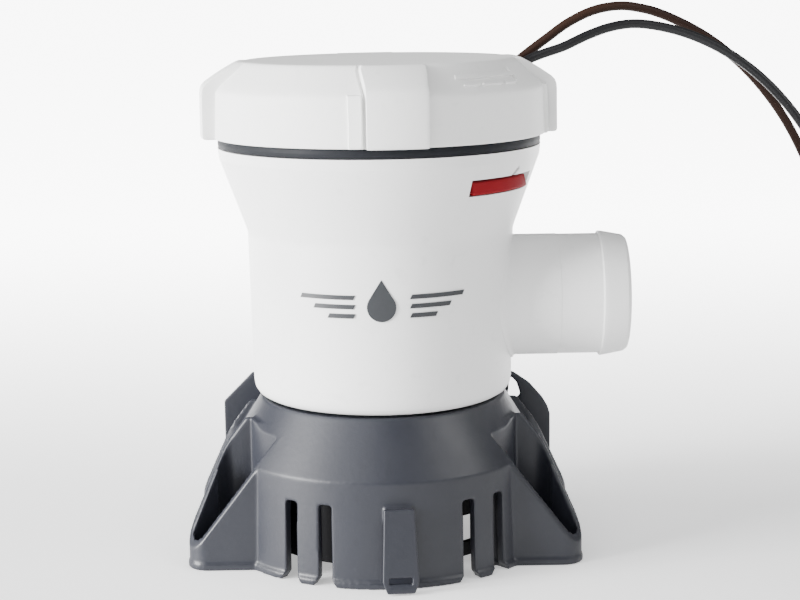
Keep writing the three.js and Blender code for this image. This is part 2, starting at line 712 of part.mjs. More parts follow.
/** The coil that the rest of a lead is wound into, as one ring of its outer shape. */
function leadCoil(name, route, material) {
  const half = COIL_BUNDLE / 2;
  const bevel = 1;
  const [inner, outer] = [COIL_RADIUS - half, COIL_RADIUS + half];
  const [low, high] = [COIL_LIFT, COIL_LIFT + COIL_BUNDLE];
  const coil = turned([
    [inner + bevel, low], [outer - bevel, low], [outer, low + bevel], [outer, high - bevel],
    [outer - bevel, high], [inner + bevel, high], [inner, high - bevel], [inner, low + bevel],
  ], 28);
  return piece(name, coil.translate([COIL_CENTRE_X, coilCentreY(route), 0]), material);
}

/** A strap round the coil's bundle. */
function coilTie(name, route) {
  const inside = COIL_BUNDLE / 2 + GAP;
  const outside = inside + 0.4;
  const middle = COIL_LIFT + COIL_BUNDLE / 2;
  const square = (half) => [[-half, -half], [half, -half], [half, half], [-half, half]];
  const strap = polygon(square(outside));
  strap.holes.push(new THREE.Path(square(inside).map(([x, y]) => new THREE.Vector2(x, y))));
  const halfWidth = 1.6;
  const tie = raised(strap, -halfWidth, halfWidth)
    .rotate([90, 0, 0])
    .translate([COIL_CENTRE_X + COIL_RADIUS, coilCentreY(route), middle]);
  return piece(name, tie, 'nylon');
}

/** The stripped end of a lead, lying beside its coil. */
function leadTip(name, route) {
  const radius = 0.75;
  const long = 9;
  const tip = disc(radius, 0, long, 8).rotate([0, 90, 0]);
  const beside = coilCentreY(route) - COIL_RADIUS - COIL_BUNDLE / 2 - radius - GAP;
  return piece(name, tip.translate([COIL_CENTRE_X - 3 - long, beside, LEAD_DIAMETER / 2]), 'copper');
}

// ---------------------------------------------------------------- assembly
const pump = new THREE.Group();
pump.name = 'bilge_pump';

const base = new THREE.Group();
base.name = 'base_assembly';
base.add(strainerBase(), intakeCage());
base.add(latch('latch_front', FRONT), latch('latch_rear', FRONT + 180));

const body = new THREE.Group();
body.name = 'body_assembly';
body.add(pumpBody(), releaseTab(), tabSpring(), sealBand());

const cartridge = new THREE.Group();
cartridge.name = 'cartridge_assembly';
cartridge.add(motorCap(), leadGrommet());
cartridge.add(motorCapsule(), capsuleSeal(), capsuleLid(), shaftSeal(), motorCan());
cartridge.add(magnet('magnet_north', 90), magnet('magnet_south', -90));
cartridge.add(bush('bush_upper', 92.4, 95.7), bush('bush_lower', 56.4, 58.2), endBell());
cartridge.add(brush('brush_positive', 1), brush('brush_negative', -1));
cartridge.add(brushSpring('brush_spring_positive', 1), brushSpring('brush_spring_negative', -1));
cartridge.add(terminal('terminal_positive', 1), terminal('terminal_negative', -1));

const rotor = new THREE.Group();
rotor.name = 'rotor_assembly';
rotor.add(rotorShaft(), armatureCore(), commutator(), impeller());
for (let i = 0; i < POLES; i += 1) rotor.add(winding(`winding_${i + 1}`, i));

const leads = new THREE.Group();
leads.name = 'leads';
const LEADS = [['brown', BROWN_ROUTE, 'brown'], ['black', BLACK_ROUTE, 'leadBlack']];
for (const [colour, route, material] of LEADS) {
  leads.add(lead(`lead_${colour}`, route, material), leadCoil(`lead_${colour}_coil`, route, material));
  leads.add(coilTie(`coil_tie_${colour}`, route), leadTip(`lead_${colour}_tip`, route));
}

pump.add(base, body, cartridge, rotor, leads);

const earReach = EAR_END.centre[0] + EAR_END.radius + LIP_PROUD;
pump.position.x = (earReach - SPIGOT_REACH) / 2;

export default pump;
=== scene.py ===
"""Looks of the cartridge bilge pump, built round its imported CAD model.

Shapes are drawn in millimetres about the pump's own vertical axis, with the spigot along +X and the
front latch towards -Y. Every finished mesh is then moved to the CAD model's frame, in metres.
"""

import json
import math

import bmesh
import bpy
import numpy as np
from mathutils import Matrix, Quaternion, Vector


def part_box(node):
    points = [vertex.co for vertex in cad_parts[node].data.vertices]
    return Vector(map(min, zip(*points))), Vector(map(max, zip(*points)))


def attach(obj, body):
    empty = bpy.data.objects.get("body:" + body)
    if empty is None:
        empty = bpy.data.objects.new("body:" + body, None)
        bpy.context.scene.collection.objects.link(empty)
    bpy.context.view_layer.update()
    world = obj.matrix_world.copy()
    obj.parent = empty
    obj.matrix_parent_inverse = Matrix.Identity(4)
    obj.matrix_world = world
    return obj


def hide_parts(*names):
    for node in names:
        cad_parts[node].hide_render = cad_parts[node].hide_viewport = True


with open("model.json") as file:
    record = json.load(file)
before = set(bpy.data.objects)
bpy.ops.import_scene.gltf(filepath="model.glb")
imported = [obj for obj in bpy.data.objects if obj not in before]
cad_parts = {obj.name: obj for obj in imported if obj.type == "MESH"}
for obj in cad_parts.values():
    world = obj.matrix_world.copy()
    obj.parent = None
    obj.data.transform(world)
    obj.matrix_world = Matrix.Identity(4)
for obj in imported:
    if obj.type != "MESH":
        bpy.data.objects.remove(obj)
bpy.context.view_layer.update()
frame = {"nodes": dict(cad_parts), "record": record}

MM = 0.001
shaft_low, shaft_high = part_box("rotor_shaft")
AXIS_X = (shaft_low.x + shaft_high.x) / 2
AXIS_Y = (shaft_low.y + shaft_high.y) / 2


def at(x, y, z):
    """A point given in millimetres from the pump's axis, in the CAD frame."""
    return Vector((x * MM + AXIS_X, y * MM + AXIS_Y, z * MM))


# ------------------------------------------------------------------ camera and light
VIEW_DISTANCE = 420.0
VIEW_HEIGHT = 136.6
VIEW_DOWN = 10.42
VIEW_ROLL = 0.95

camera_data = bpy.data.cameras.new("camera")
camera_data.sensor_width = 36
camera_data.lens = 80.0
camera_data.shift_x = 0.0231
camera = bpy.data.objects.new("camera", camera_data)
camera.location = at(0, -VIEW_DISTANCE, VIEW_HEIGHT)
camera.rotation_mode = "QUATERNION"
camera.rotation_quaternion = Quaternion((1, 0, 0), math.radians(90 - VIEW_DOWN)) @ Quaternion(
    (0, 0, 1), math.radians(-VIEW_ROLL)
)
bpy.context.scene.collection.objects.link(camera)
bpy.context.scene.camera = camera


def area_light(name, place, aim, size, power, colour=(1, 1, 1)):
    data = bpy.data.lights.new(name, "AREA")
    data.shape = "RECTANGLE"
    data.size, data.size_y = size
    data.energy = power
    data.color = colour
    light = bpy.data.objects.new(name, data)
    light.location = place
    light.rotation_mode = "QUATERNION"
    light.rotation_quaternion = (Vector(aim) - Vector(place)).to_track_quat("-Z", "Y")
    bpy.context.scene.collection.objects.link(light)
    return light


def around(direction, height, distance):
    """A point round the pump: direction in degrees from the front towards the spigot, in metres."""
    angle = math.radians(direction - 90)
    return (distance * math.cos(angle) + AXIS_X, distance * math.sin(angle) + AXIS_Y, height)


middle = at(0, 0, 60)
area_light("key", around(-66, 0.27, 1.25), middle, (0.5, 0.42), 60.0)
area_light("left", around(-82, 0.72, 1.0), middle, (0.6, 0.5), 10.0)
area_light("right", around(62, 0.72, 1.0), middle, (0.7, 0.6), 7.0)
area_light("top", around(-32, 0.95, 1.0), middle, (0.9, 0.8), 7.0)

world = bpy.data.worlds.new("studio")
world.use_nodes = True
world.node_tree.nodes["Background"].inputs["Color"].default_value = (0.96, 0.98, 1, 1)
world.node_tree.nodes["Background"].inputs["Strength"].default_value = 0.28
bpy.context.scene.world = world


# ------------------------------------------------------------------ materials
def material(
    name,
    colour,
    deep,
    roughness,
    grain=0.25,
    grain_size=900.0,
    metallic=0.0,
    mottle_size=28.0,
    edge_highlight=0.0,
    specular=0.5,
):
    """Two close tones mottled together, with a fine moulded grain, an uneven gloss and, where asked, a
    painted highlight that lightens rounded edges.
    """
    made = bpy.data.materials.new(name)
    made.use_nodes = True
    tree = made.node_tree
    shader = tree.nodes["Principled BSDF"]
    shader.inputs["Metallic"].default_value = metallic
    shader.inputs["Specular IOR Level"].default_value = specular
    place = tree.nodes.new("ShaderNodeTexCoord").outputs["Object"]

    def noise(scale, detail, rough=0.5):
        node = tree.nodes.new("ShaderNodeTexNoise")
        node.inputs["Scale"].default_value = scale
        node.inputs["Detail"].default_value = detail
        node.inputs["Roughness"].default_value = rough
        tree.links.new(place, node.inputs["Vector"])
        return node.outputs["Fac"]

    def remap(value, low, high, to_low, to_high):
        node = tree.nodes.new("ShaderNodeMapRange")
        for key, number in zip(("From Min", "From Max", "To Min", "To Max"), (low, high, to_low, to_high)):
            node.inputs[key].default_value = number
        tree.links.new(value, node.inputs["Value"])
        return node.outputs["Result"]

    def mix(factor, first, second):
        node = tree.nodes.new("ShaderNodeMix")
        node.data_type = "RGBA"
        tree.links.new(factor, node.inputs["Factor"])
        for value, key in ((first, 6), (second, 7)):
            if isinstance(value, tuple):
                node.inputs[key].default_value = (*value, 1)
            else:
                tree.links.new(value, node.inputs[key])
        return node.outputs[2]

    tone = mix(remap(noise(mottle_size, 4.0), 0.35, 0.65, 0, 1), colour, deep)
    speck = remap(noise(grain_size * 0.35, 2.0), 0.62, 0.78, 0, 0.35)
    tone = mix(speck, tone, tuple(c * 0.86 for c in deep))
    # Rounded edges found by pointiness are painted lighter: a painted highlight along the edges.
    if edge_highlight:
        edge = tree.nodes.new("ShaderNodeNewGeometry").outputs["Pointiness"]
        painted_highlight = remap(edge, 0.53, 0.60, 0, edge_highlight)
        tone = mix(painted_highlight, tone, tuple(min(1.0, c * 1.6 + 0.03) for c in colour))
    tree.links.new(tone, shader.inputs["Base Color"])
    gloss = remap(noise(mottle_size * 2.2, 5.0, 0.6), 0.3, 0.7, roughness - 0.06, roughness + 0.07)
    tree.links.new(gloss, shader.inputs["Roughness"])
    bump = tree.nodes.new("ShaderNodeBump")
    bump.inputs["Strength"].default_value = grain
    bump.inputs["Distance"].default_value = 0.00012
    tree.links.new(noise(grain_size, 3.0, 0.55), bump.inputs["Height"])
    wave = tree.nodes.new("ShaderNodeBump")
    wave.inputs["Strength"].default_value = 0.12
    wave.inputs["Distance"].default_value = 0.0006
    tree.links.new(noise(60.0, 1.0), wave.inputs["Height"])
    tree.links.new(bump.outputs["Normal"], wave.inputs["Normal"])
    tree.links.new(wave.outputs["Normal"], shader.inputs["Normal"])
    return made


# Name: main tone, darker tone, roughness, and what differs from a plain moulded finish; the edge setting
# paints a lighter highlight along rounded edges.
FINISH_TABLE = {
    "housing_white": ((0.80, 0.80, 0.795), (0.765, 0.767, 0.765), 0.42, dict(grain=0.12, specular=0.35)),
    "cap_white": ((0.81, 0.81, 0.80), (0.775, 0.777, 0.77), 0.5, dict(grain=0.16, specular=0.08)),
    "base_grey": (
        (0.0155, 0.0170, 0.0240), (0.0130, 0.0142, 0.0205), 0.42, dict(grain=0.28, edge_highlight=0.12, specular=0.45)
    ),
    "band_charcoal": ((0.014, 0.015, 0.018), (0.010, 0.011, 0.013), 0.55, dict(grain=0.3, specular=0.1)),
    "cage_black": ((0.007, 0.007, 0.008), (0.004, 0.004, 0.005), 0.5, dict(edge_highlight=0.1, specular=0.12)),
    "capsule_black": ((0.016, 0.016, 0.018), (0.010, 0.010, 0.011), 0.38, dict(edge_highlight=0.3)),
    "seal_rubber": ((0.016, 0.016, 0.016), (0.010, 0.010, 0.010), 0.7, dict(grain=0.4)),
    "tab_red": ((0.25, 0.015, 0.020), (0.18, 0.009, 0.013), 0.46, dict(grain=0.2, specular=0.03)),
    "lead_brown": ((0.024, 0.0115, 0.0075), (0.018, 0.0085, 0.006), 0.5, dict(grain=0.15, specular=0.12)),
    "lead_black": ((0.010, 0.010, 0.011), (0.006, 0.006, 0.007), 0.42, dict(grain=0.15, specular=0.25)),
    "tie_nylon": ((0.62, 0.60, 0.53), (0.55, 0.53, 0.46), 0.4, {}),
    "copper_strand": ((0.72, 0.34, 0.19), (0.60, 0.27, 0.15), 0.32, dict(metallic=1.0)),
    "steel": ((0.60, 0.61, 0.63), (0.50, 0.51, 0.53), 0.34, dict(metallic=1.0, grain=0.2)),
    "lamination": ((0.33, 0.33, 0.35), (0.24, 0.24, 0.26), 0.48, dict(metallic=1.0)),
    "ferrite": ((0.045, 0.045, 0.050), (0.030, 0.030, 0.034), 0.62, dict(grain=0.5)),
    "winding_copper": ((0.55, 0.20, 0.08), (0.42, 0.14, 0.05), 0.33, dict(metallic=1.0)),
    "brass": ((0.70, 0.53, 0.24), (0.60, 0.44, 0.18), 0.35, dict(metallic=1.0)),
    "carbon": ((0.025, 0.025, 0.027), (0.015, 0.015, 0.016), 0.55, dict(grain=0.5)),
    "nylon": ((0.66, 0.63, 0.56), (0.58, 0.55, 0.48), 0.42, {}),
}
FINISHES = {
    name: material(name, colour, deep, roughness, **extras)
    for name, (colour, deep, roughness, extras) in FINISH_TABLE.items()
}
INK = material("ink", (0.022, 0.024, 0.028), (0.016, 0.018, 0.021), 0.38)
FLOOR = material("floor", (0.90, 0.90, 0.90), (0.88, 0.88, 0.88), 0.8, mottle_size=4.0, specular=0.1)


def lit_sweep(finish, near_glow, far_glow, near, far):
    """A softly glowing sheet that brightens towards the back, as a lit studio sweep does."""
    tree = finish.node_tree
    place = tree.nodes.new("ShaderNodeTexCoord").outputs["Object"]
    split = tree.nodes.new("ShaderNodeSeparateXYZ")
    tree.links.new(place, split.inputs[0])
    ramp = tree.nodes.new("ShaderNodeMapRange")
    ramp.interpolation_type = "SMOOTHSTEP"
    for key, number in zip(("From Min", "From Max", "To Min", "To Max"), (near, far, near_glow, far_glow)):
        ramp.inputs[key].default_value = number
    tree.links.new(split.outputs["Y"], ramp.inputs["Value"])
    shader = tree.nodes["Principled BSDF"]
    shader.inputs["Emission Color"].default_value = (1, 1, 1, 1)
    tree.links.new(ramp.outputs["Result"], shader.inputs["Emission Strength"])


lit_sweep(FLOOR, 0.5, 8.5, -0.04, 0.6)


# ------------------------------------------------------------------ mesh helpers
def new_object(name, points, faces):
    """An object from points in millimetres about the pump's axis."""
    mesh = bpy.data.meshes.new(name)
    mesh.from_pydata([tuple(p) for p in points], [], [tuple(f) for f in faces])
    mesh.validate()
    shape = bpy.data.objects.new(name, mesh)
    bpy.context.scene.collection.objects.link(shape)
    outward(shape)
    return shape


def outward(shape):
    built = bmesh.new()
    built.from_mesh(shape.data)
    bmesh.ops.remove_doubles(built, verts=built.verts, dist=1e-5)
    bmesh.ops.recalc_face_normals(built, faces=built.faces)
    built.to_mesh(shape.data)
    built.free()


def settled(shape):
    """Applies every modifier of an object."""
    graph = bpy.context.evaluated_depsgraph_get()
    result = bpy.data.meshes.new_from_object(shape.evaluated_get(graph))
    shape.modifiers.clear()
    shape.data = result
    return shape


def combine(shape, tool, operation):
    """A boolean with another object, which is then removed."""
    change = shape.modifiers.new("boolean", "BOOLEAN")
    change.operation = operation
    change.solver = "EXACT"
    change.object = tool
    settled(shape)
    bpy.data.objects.remove(tool)
    return shape


def cut(shape, tool):
    return combine(shape, tool, "DIFFERENCE")


def add(shape, tool):
    return combine(shape, tool, "UNION")


def bevelled(shape, width, angle=35.0, segments=3):
    change = shape.modifiers.new("bevel", "BEVEL")
    change.width = width
    change.segments = segments
    change.limit_method = "ANGLE"
    change.angle_limit = math.radians(angle)
    change.miter_outer = "MITER_ARC"
    return settled(shape)


def softened(shape, voxel, rounds):
    """One even skin over a joined solid, with its edges and corners slightly rounded."""
    change = shape.modifiers.new("skin", "REMESH")
    change.mode = "VOXEL"
    change.voxel_size = voxel
    change.adaptivity = 0.0
    settled(shape)
    change = shape.modifiers.new("smooth", "SMOOTH")
    change.factor = 0.5
    change.iterations = rounds
    return settled(shape)


def merged(name, shapes):
    """Several closed shells as one object."""
    points, faces = [], []
    for shape in shapes:
        start = len(points)
        matrix = shape.matrix_world
        points += [matrix @ v.co for v in shape.data.vertices]
        faces += [[start + i for i in f.vertices] for f in shape.data.polygons]
        bpy.data.objects.remove(shape)
    mesh = bpy.data.meshes.new(name)
    mesh.from_pydata(points, [], faces)
    result = bpy.data.objects.new(name, mesh)
    bpy.context.scene.collection.objects.link(result)
    return result


def finished(shape, slot, body, nodes=(), smooth=32.0, finish=None):
    """Moves a shape into the CAD frame, gives it its finish and ties it to its body."""
    shape.data.transform(Matrix.Translation((AXIS_X, AXIS_Y, 0)) @ Matrix.Scale(MM, 4))
    shape.data.materials.clear()
    shape.data.materials.append(finish or FINISHES[slot])
    shape.data.shade_smooth()
    if smooth:
        shape.data.set_sharp_from_angle(angle=math.radians(smooth))
    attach(shape, body)
    if nodes:
        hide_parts(*nodes)
    return shape


def rounded(outline, closed=True, steps=4):
    """An outline of (r, z, radius) corners with each corner rounded; a bare (r, z) stays sharp."""
    points = [(p[0], p[1], p[2] if len(p) > 2 else 0.0) for p in outline]
    result = []
    count = len(points)
    for i, (r, z, radius) in enumerate(points):
        if radius == 0 or (not closed and i in (0, count - 1)):
            result.append((r, z))
            continue
        corner = Vector((r, z))
        before = Vector(points[i - 1][:2]) - corner
        after = Vector(points[(i + 1) % count][:2]) - corner
        angle = before.angle(after)
        reach = min(radius / math.tan(angle / 2), before.length * 0.49, after.length * 0.49)
        first = corner + before.normalized() * reach
        last = corner + after.normalized() * reach
        for k in range(steps + 1):
            t = k / steps
            p = first * (1 - t) ** 2 + corner * 2 * t * (1 - t) + last * t**2
            result.append((p.x, p.y))
    return result


def dense(points, step):
    """Extra points along an open run of (r, z) points, so that none are further apart than step."""
    result = [points[0]]
    for a, b in zip(points, points[1:]):
        parts = max(1, math.ceil(math.dist(a, b) / step))
        result += [tuple(a[k] + (b[k] - a[k]) * i / parts for k in (0, 1)) for i in range(1, parts + 1)]
    return result


def turned(name, outline, segments=256):
    """A closed (r, z) outline turned about the vertical axis; points at r = 0 become poles."""
    points, rings = [], []
    for r, z in outline:
        if r < 1e-6:
            rings.append([len(points)] * segments)
            points.append((0, 0, z))
            continue
        start = len(points)
        rings.append(list(range(start, start + segments)))
        for k in range(segments):
            angle = 2 * math.pi * k / segments
            points.append((r * math.cos(angle), r * math.sin(angle), z))
    faces = []
    pairs = list(zip(rings, rings[1:] + rings[:1]))
    if outline[0][0] < 1e-6 and outline[-1][0] < 1e-6:
        pairs.pop()
    for low, high in pairs:
        for k in range(segments):
            n = (k + 1) % segments
            corners = [low[k], low[n], high[n], high[k]]
            face = [c for i, c in enumerate(corners) if c != corners[i - 1]]
            if len(face) > 2:
                faces.append(face)
    return new_object(name, points, faces)


def prism(name, outline, low, high):
    """An (x, y) outline raised from one height to another."""
    count = len(outline)
    points = [(x, y, low) for x, y in outline] + [(x, y, high) for x, y in outline]
    faces = [list(range(count))[::-1], list(range(count, 2 * count))]
    faces += [[k, (k + 1) % count, (k + 1) % count + count, k + count] for k in range(count)]
    return new_object(name, points, faces)


def box(name, middle_point, size):
    (x, y, z), (a, b, c) = middle_point, (s / 2 for s in size)
    outline = [(x - a, y - b), (x + a, y - b), (x + a, y + b), (x - a, y + b)]
    return prism(name, outline, z - c, z + c)


def arc(centre, radius, start, end, steps):
    """Points along a circular arc, angles in degrees."""
    angles = [math.radians(start + (end - start) * k / steps) for k in range(steps + 1)]
    return [(centre[0] + radius * math.cos(a), centre[1] + radius * math.sin(a)) for a in angles]


def sector(name, outline, start, end, steps):
    """A closed (r, z) outline swept round the axis between two directions, with flat ends."""
    count = len(outline)
    points, faces = [], []
    for k in range(steps + 1):
        angle = math.radians(start + (end - start) * k / steps)
        points += [(r * math.cos(angle), r * math.sin(angle), z) for r, z in outline]
    for k in range(steps):
        for i in range(count):
            n = (i + 1) % count
            faces.append([k * count + i, k * count + n, (k + 1) * count + n, (k + 1) * count + i])
    faces.append(list(range(count))[::-1])
    faces.append(list(range(steps * count, (steps + 1) * count)))
    return new_object(name, points, faces)


def transformed(shape, matrix):
    shape.data.transform(matrix)
    return shape


def turn(degrees, axis="Z"):
    return Matrix.Rotation(math.radians(degrees), 4, axis)


# ------------------------------------------------------------------ floor
FLOOR_HALF = 40.0  # metres
FLOOR_DROP = 0.0001
floor_corners = [(FLOOR_HALF * x, FLOOR_HALF * y, 0) for x, y in ((-1, -1), (1, -1), (1, 1), (-1, 1))]
floor = new_object("floor", floor_corners, [(0, 1, 2, 3)])
floor.data.materials.append(FLOOR)
floor.location.z = -FLOOR_DROP

# ------------------------------------------------------------------ leads
LEAD_DIAMETER = 2.3
COIL_CENTRE_X = 155.0
COIL_RADIUS = 13.0
COIL_LIFT = 0.7  # the tie runs underneath
COIL_INNER = COIL_RADIUS - LEAD_DIAMETER
COIL_OUTER = COIL_RADIUS + LEAD_DIAMETER
TURNS = 7.5
TURN_STEPS = 24
SHIFT_START = 0.72  # the share of a turn after which it moves over to the next one's place
LEVELS = [COIL_LIFT + LEAD_DIAMETER * k for k in (0.5, 1.5, 2.5)]
# Radius and layer of each turn, from the top layer down.
TURN_PLACES = [
    (COIL_RADIUS, 2),
    (COIL_OUTER, 2),
    (COIL_OUTER, 1),
    (COIL_RADIUS, 1),
    (COIL_INNER, 1),
    (COIL_INNER, 0),
    (COIL_RADIUS, 0),
    (COIL_OUTER, 0),
]
TIP_RADIUS = 0.75
TIP_LENGTH = 9.0

ROUTES = {
    "brown": [
        (30.8, 17.6, 112), (33, 18.7, 113.8), (34.8, 19.5, 115.3), (41.6, 21, 120.2), (47.2, 22, 124),
        (53.6, 23, 126.8), (60.1, 24.5, 127.7), (65, 26, 127.1), (69.6, 27.4, 125.9), (76, 28.8, 123.2),
        (83.5, 30.4, 119), (91, 32, 113.2), (98, 33.6, 106), (104.4, 35.2, 97.4), (110, 36.8, 87.2),
        (115, 38.4, 75.4), (119.4, 40, 62.6), (123.4, 41.6, 49.4), (127.2, 43.2, 36.4), (131.4, 44.6, 25.2),
        (136.6, 45.7, 16.6), (142.4, 46.1, 11.2), (148, 46, 8.9),
    ],
    "black": [
        (32.3, 14.5, 112), (34.6, 15.7, 113.8), (36.6, 16.5, 115.2), (40.2, 16.8, 116.6), (45.2, 17, 118.2),
        (51.4, 18, 120.9), (57, 19, 122.7), (62.6, 20, 123.4), (68.4, 20.8, 122.8), (76, 21, 120.8),
        (84, 20.6, 117.2), (92, 19.8, 111.8), (99.4, 18.8, 104.6), (106, 17.6, 95.6), (111.6, 16.4, 85.2),
        (116.4, 15, 73.4), (120.4, 13.8, 60.6), (124, 12.6, 47.6), (127.6, 11.4, 34.8), (131.8, 10.2, 23.9),
        (136.8, 9, 15.8), (142.4, 8.2, 11), (148, 8, 8.9),
    ],
}


def through(points, samples):
    """A smooth run of points through the given ones, evenly parametrised between them."""
    p = [Vector(q) for q in points]
    p = [p[0] * 2 - p[1], *p, p[-1] * 2 - p[-2]]
    run = []
    for a, b, c, d in zip(p, p[1:], p[2:], p[3:]):
        knots = [0.0]
        for u, v in ((a, b), (b, c), (c, d)):
            knots.append(knots[-1] + max((v - u).length, 1e-6) ** 0.5)
        for k in range(samples):
            t = knots[1] + (knots[2] - knots[1]) * k / samples
            a1 = a.lerp(b, (t - knots[0]) / (knots[1] - knots[0]))
            a2 = b.lerp(c, (t - knots[1]) / (knots[2] - knots[1]))
            a3 = c.lerp(d, (t - knots[2]) / (knots[3] - knots[2]))
            b1 = a1.lerp(a2, (t - knots[0]) / (knots[2] - knots[0]))
            b2 = a2.lerp(a3, (t - knots[1]) / (knots[3] - knots[1]))
            run.append(b1.lerp(b2, (t - knots[1]) / (knots[2] - knots[1])))
    run.append(p[-2])
    return run


def coil_points(centre_y):
    """The wound length: down through three layers, each turn shifting to the next one's place."""
    stations = []
    last = len(TURN_PLACES) - 1
    for k in range(int(TURNS * TURN_STEPS) + 1):
        turns = k / TURN_STEPS
        index = min(int(turns), last)
        radius, layer = TURN_PLACES[index]
        next_radius, next_layer = TURN_PLACES[min(index + 1, last)]
        shift = max(0.0, (turns - index - SHIFT_START) / (1 - SHIFT_START))
        shift = shift * shift * (3 - 2 * shift)
        out = radius + (next_radius - radius) * shift
        level = LEVELS[layer] + (LEVELS[next_layer] - LEVELS[layer]) * shift
        angle = math.radians(90) - 2 * math.pi * turns
        stations.append((COIL_CENTRE_X + out * math.cos(angle), centre_y + out * math.sin(angle), level))
    return stations


def tube_curve(name, points, radius):
    data = bpy.data.curves.new(name, "CURVE")
    data.dimensions = "3D"
    data.bevel_depth = radius
    data.bevel_resolution = 6
    data.use_fill_caps = True
    spline = data.splines.new("POLY")
    spline.points.add(len(points) - 1)
    for point, place in zip(spline.points, points):
        point.co = (*place, 1)
    spline.use_smooth = True
    made = bpy.data.objects.new(name, data)
    bpy.context.scene.collection.objects.link(made)
    return made


def strand_tip(name, base_point, direction, radius, long):
    """A stripped end: seven twisted copper strands."""
    shapes = []
    strand = radius / 3
    for index in range(7):
        swing = 0 if index == 0 else radius - strand
        points, faces = [], []
        rows, sides = 24, 8
        for row in range(rows + 1):
            share = row / rows
            phase = 2 * math.pi * (index / 6 + share * 1.5)
            centre = Vector((long * share, swing * math.cos(phase), swing * math.sin(phase)))
            for side in range(sides):
                a = 2 * math.pi * side / sides
                points.append(centre + Vector((0, strand * math.cos(a), strand * math.sin(a))))
        for row in range(rows):
            low, high = row * sides, (row + 1) * sides
            for side in range(sides):
                n = (side + 1) % sides
                faces.append([low + side, low + n, high + n, high + side])
        faces.append(list(range(sides)))
        faces.append(list(range(rows * sides, (rows + 1) * sides))[::-1])
        shapes.append(new_object(f"{name}_strand", points, faces))
    tip = merged(name, shapes)
    aim = Vector(direction).to_track_quat("X", "Z").to_matrix().to_4x4()
    return transformed(tip, Matrix.Translation(base_point) @ aim)


def coil_tie(name, centre_y):
    """A flat strap round the bundle with its small locking head on top."""
    half = LEAD_DIAMETER * 1.5 + 0.15
    thick = 0.55
    low = COIL_LIFT - 0.6
    high = COIL_LIFT + 3 * LEAD_DIAMETER + 0.15
    outline = rounded([
        (COIL_RADIUS - half - thick, low, 0.9), (COIL_RADIUS + half + thick, low, 0.9),
        (COIL_RADIUS + half + thick, high + thick, 0.9), (COIL_RADIUS - half - thick, high + thick, 0.9),
    ])
    hole = rounded([
        (COIL_RADIUS - half, low + thick, 0.5), (COIL_RADIUS + half, low + thick, 0.5),
        (COIL_RADIUS + half, high, 0.5), (COIL_RADIUS - half, high, 0.5),
    ])
    to_side = Matrix.Translation((COIL_CENTRE_X, centre_y, 0)) @ Matrix.Rotation(math.radians(90), 4, "X")
    strap = prism(f"{name}_strap", outline, -1.3, 1.3)
    strap = cut(strap, prism("hole", hole, -3, 3))
    head = bevelled(box(f"{name}_head", (COIL_RADIUS + half + 0.3, high - 1.6, 0), (1.6, 2.6, 3.4)), 0.25)
    return transformed(merged(name, [strap, head]), to_side)


for colour, route in ROUTES.items():
    centre_y = route[-1][1] - COIL_RADIUS
    line = [at(*p) for p in route]
    wound = [at(*p) for p in coil_points(centre_y)]
    coil_edge = centre_y - COIL_RADIUS - LEAD_DIAMETER
    tail = [
        at(COIL_CENTRE_X - 0.6, coil_edge - 0.3, 1.45),
        at(COIL_CENTRE_X - 1.8, coil_edge - 0.8, 1.2),
        at(COIL_CENTRE_X - 3.2, coil_edge - 1.1, 1.2),
    ]
    path = through(line + wound[2:-2] + tail, 6)
    cord = tube_curve(f"lead_{colour}_run", path, LEAD_DIAMETER / 2 * MM)
    cord.data.materials.append(FINISHES[f"lead_{colour}"])
    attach(cord, "cartridge")
    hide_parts(f"lead_{colour}", f"lead_{colour}_coil")
    end, before = path[-1], path[-3]
    tip_start = ((end.x - AXIS_X) / MM, (end.y - AXIS_Y) / MM, end.z / MM)
    along = end - before
    along.z = 0
    tip = strand_tip(f"lead_{colour}_strands", tip_start, along, TIP_RADIUS, TIP_LENGTH)
    finished(tip, "copper_strand", "cartridge", [f"lead_{colour}_tip"], smooth=60)
    tie = coil_tie(f"coil_tie_{colour}_strap", centre_y)
    finished(tie, "tie_nylon", "cartridge", [f"coil_tie_{colour}"])

# ------------------------------------------------------------------ pump housing
SPIGOT_HEIGHT = 60.3
SPIGOT_RADIUS = 14.4
SPIGOT_BORE = 12.0
TAB_MIDDLE = -37.0
TAB_HALF = 19.0
BAR_SIDES = (17.6, 18.3)  # how far the tab's bar reaches to either side of its middle, in degrees
LIP_HALF = 22.0
SLOT_LOW, SLOT_HIGH = 87.5, 91.3
RELIEF_MIDDLE = -33.5  # of the narrow slit that slants up from the slot's upper edge
RELIEF_SLANT = 48.0

housing_outside = rounded([
    (9, 37.9, 0.3), (30.9, 37.9, 3.6), (31.5, 77.2, 6.0), (37.75, 94.6, 2.2), (38, 97, 0.3),
], closed=False)
housing_inside = [(32.6, 97), (32.6, 86.4), (28.9, 80), (28.9, 76), (28.3, 40.3), (9, 40.3)]


def housing_radius(z):
    """The housing's outer radius at a height."""
    heights = [p[1] for p in housing_outside[6:]]
    radii = [p[0] for p in housing_outside[6:]]
    return float(np.interp(z, heights, radii))


